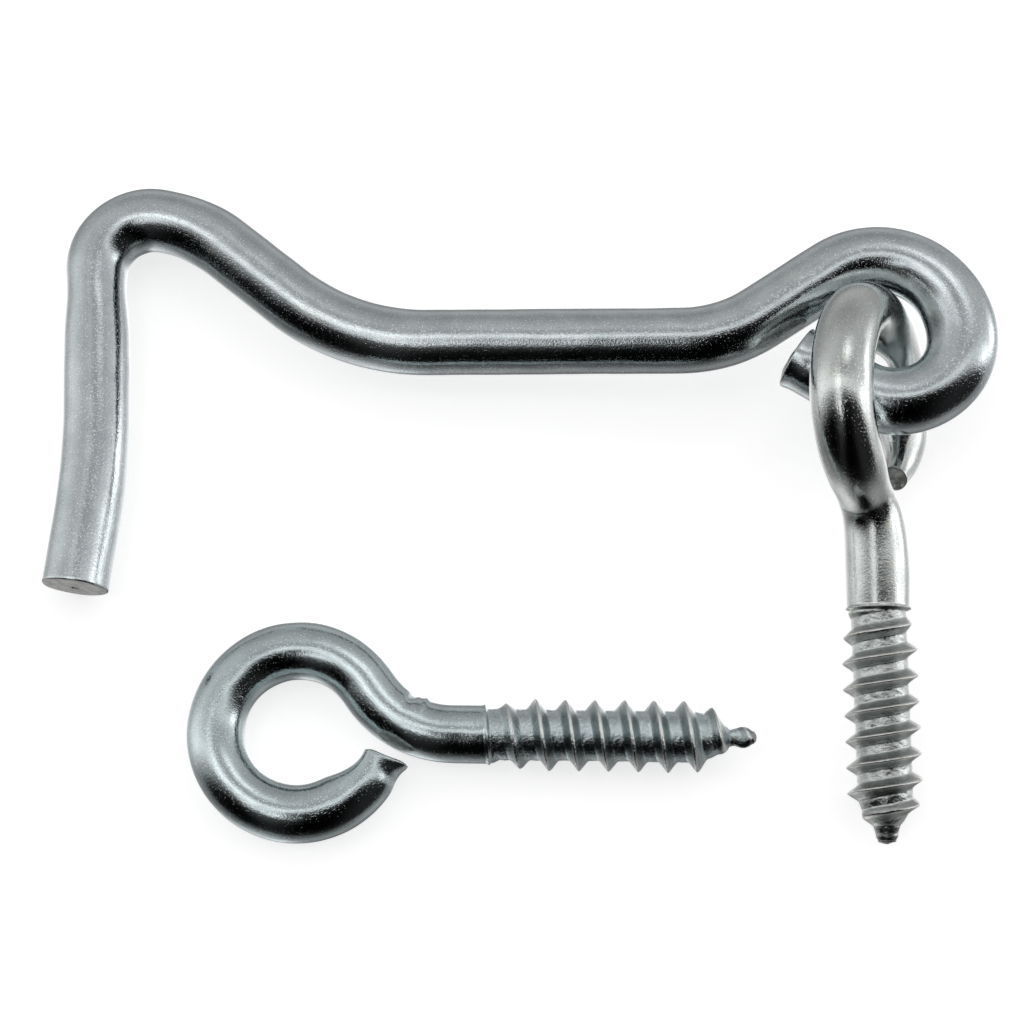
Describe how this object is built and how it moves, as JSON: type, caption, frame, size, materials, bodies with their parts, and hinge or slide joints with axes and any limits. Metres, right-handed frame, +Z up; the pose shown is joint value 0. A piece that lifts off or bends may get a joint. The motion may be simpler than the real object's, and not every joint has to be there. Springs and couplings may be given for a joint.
{
  "type": "hook and eye latch",
  "caption": "Door or gate hook bent from round plated steel wire, linked to a pivot screw eye, with a loose catch screw eye for its leg.",
  "frame": {"origin": "on the table under the middle of the set's bounding box", "axes": "+X along the hook's shank towards its eye, +Y from the leg's toe towards the top bend, +Z up from the table that the set lies on"},
  "size_m": [0.0816, 0.058, 0.0187],
  "materials": {
    "hook_zinc": "bright zinc plating on drawn steel wire",
    "pivot_eye_zinc": "bright zinc plating, rolled thread",
    "catch_eye_zinc": "blue-passivated zinc plating, rolled thread"
  },
  "bodies": {
    "pivot_screw_eye": {"pivot_screw_eye": "pivot_eye_zinc"},
    "hook": {"hook": "hook_zinc"},
    "catch_screw_eye": {"catch_screw_eye": "catch_eye_zinc"}
  },
  "joints": [
    {"name": "hook_swing", "type": "hinge", "parent": "pivot_screw_eye", "child": "hook", "pos_m": [0.03064, 0.01499, 0.00802], "axis": [-0.1517, 0.0953, 0.9838], "range_deg": [-185, 10]},
    {"name": "catch_lift", "type": "slide", "parent": "pivot_screw_eye", "child": "catch_screw_eye", "axis": [0, 0, 1], "range_m": [0, 0.03]}
  ]
}
